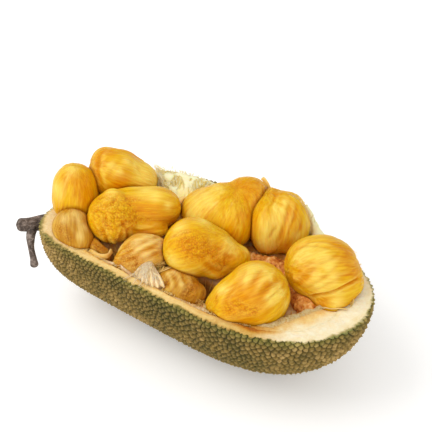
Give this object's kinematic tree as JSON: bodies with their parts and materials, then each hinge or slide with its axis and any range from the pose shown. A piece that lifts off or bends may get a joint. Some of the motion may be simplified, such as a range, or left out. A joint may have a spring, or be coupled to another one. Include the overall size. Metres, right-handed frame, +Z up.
{
  "type": "halved jackfruit",
  "caption": "Ripe jackfruit cut lengthwise: bumpy green-brown rind with a cream rim, filled with golden fleshy bulbs, pale fibres, a strip of brown core and a woody stalk.",
  "frame": {"origin": "middle of the small flat spot under the rind that the half rests on", "axes": "+X along the fruit from the stalk to the tip, +Z up out of the cut face, +Y across towards the wall that stands further from the middle"},
  "size_m": [0.3388, 0.1814, 0.148],
  "materials": {
    "rind": "bumpy rind over cream pith, dry and matte",
    "rag": "moist pale fibres",
    "bulb": "moist waxy golden flesh with fine lengthwise fibres",
    "pale_bulb": "moist paler golden flesh with fine fibres",
    "core": "granular brown core",
    "stalk": "dry dark bark"
  },
  "bodies": {
    "root": {"rind_half": "rind", "rag_bed": "rag", "core": "core", "stalk": "stalk", "bulb_01": "pale_bulb", "bulb_02": "bulb", "bulb_03": "bulb", "bulb_04": "pale_bulb", "bulb_05": "pale_bulb", "bulb_06": "bulb", "bulb_07": "bulb", "bulb_08": "bulb", "bulb_09": "bulb", "bulb_10": "bulb", "bulb_11": "pale_bulb", "skin_flap": "pale_bulb", "rag_tuft": "rag", "rag_ridge": "rag"}
  },
  "joints": []
}
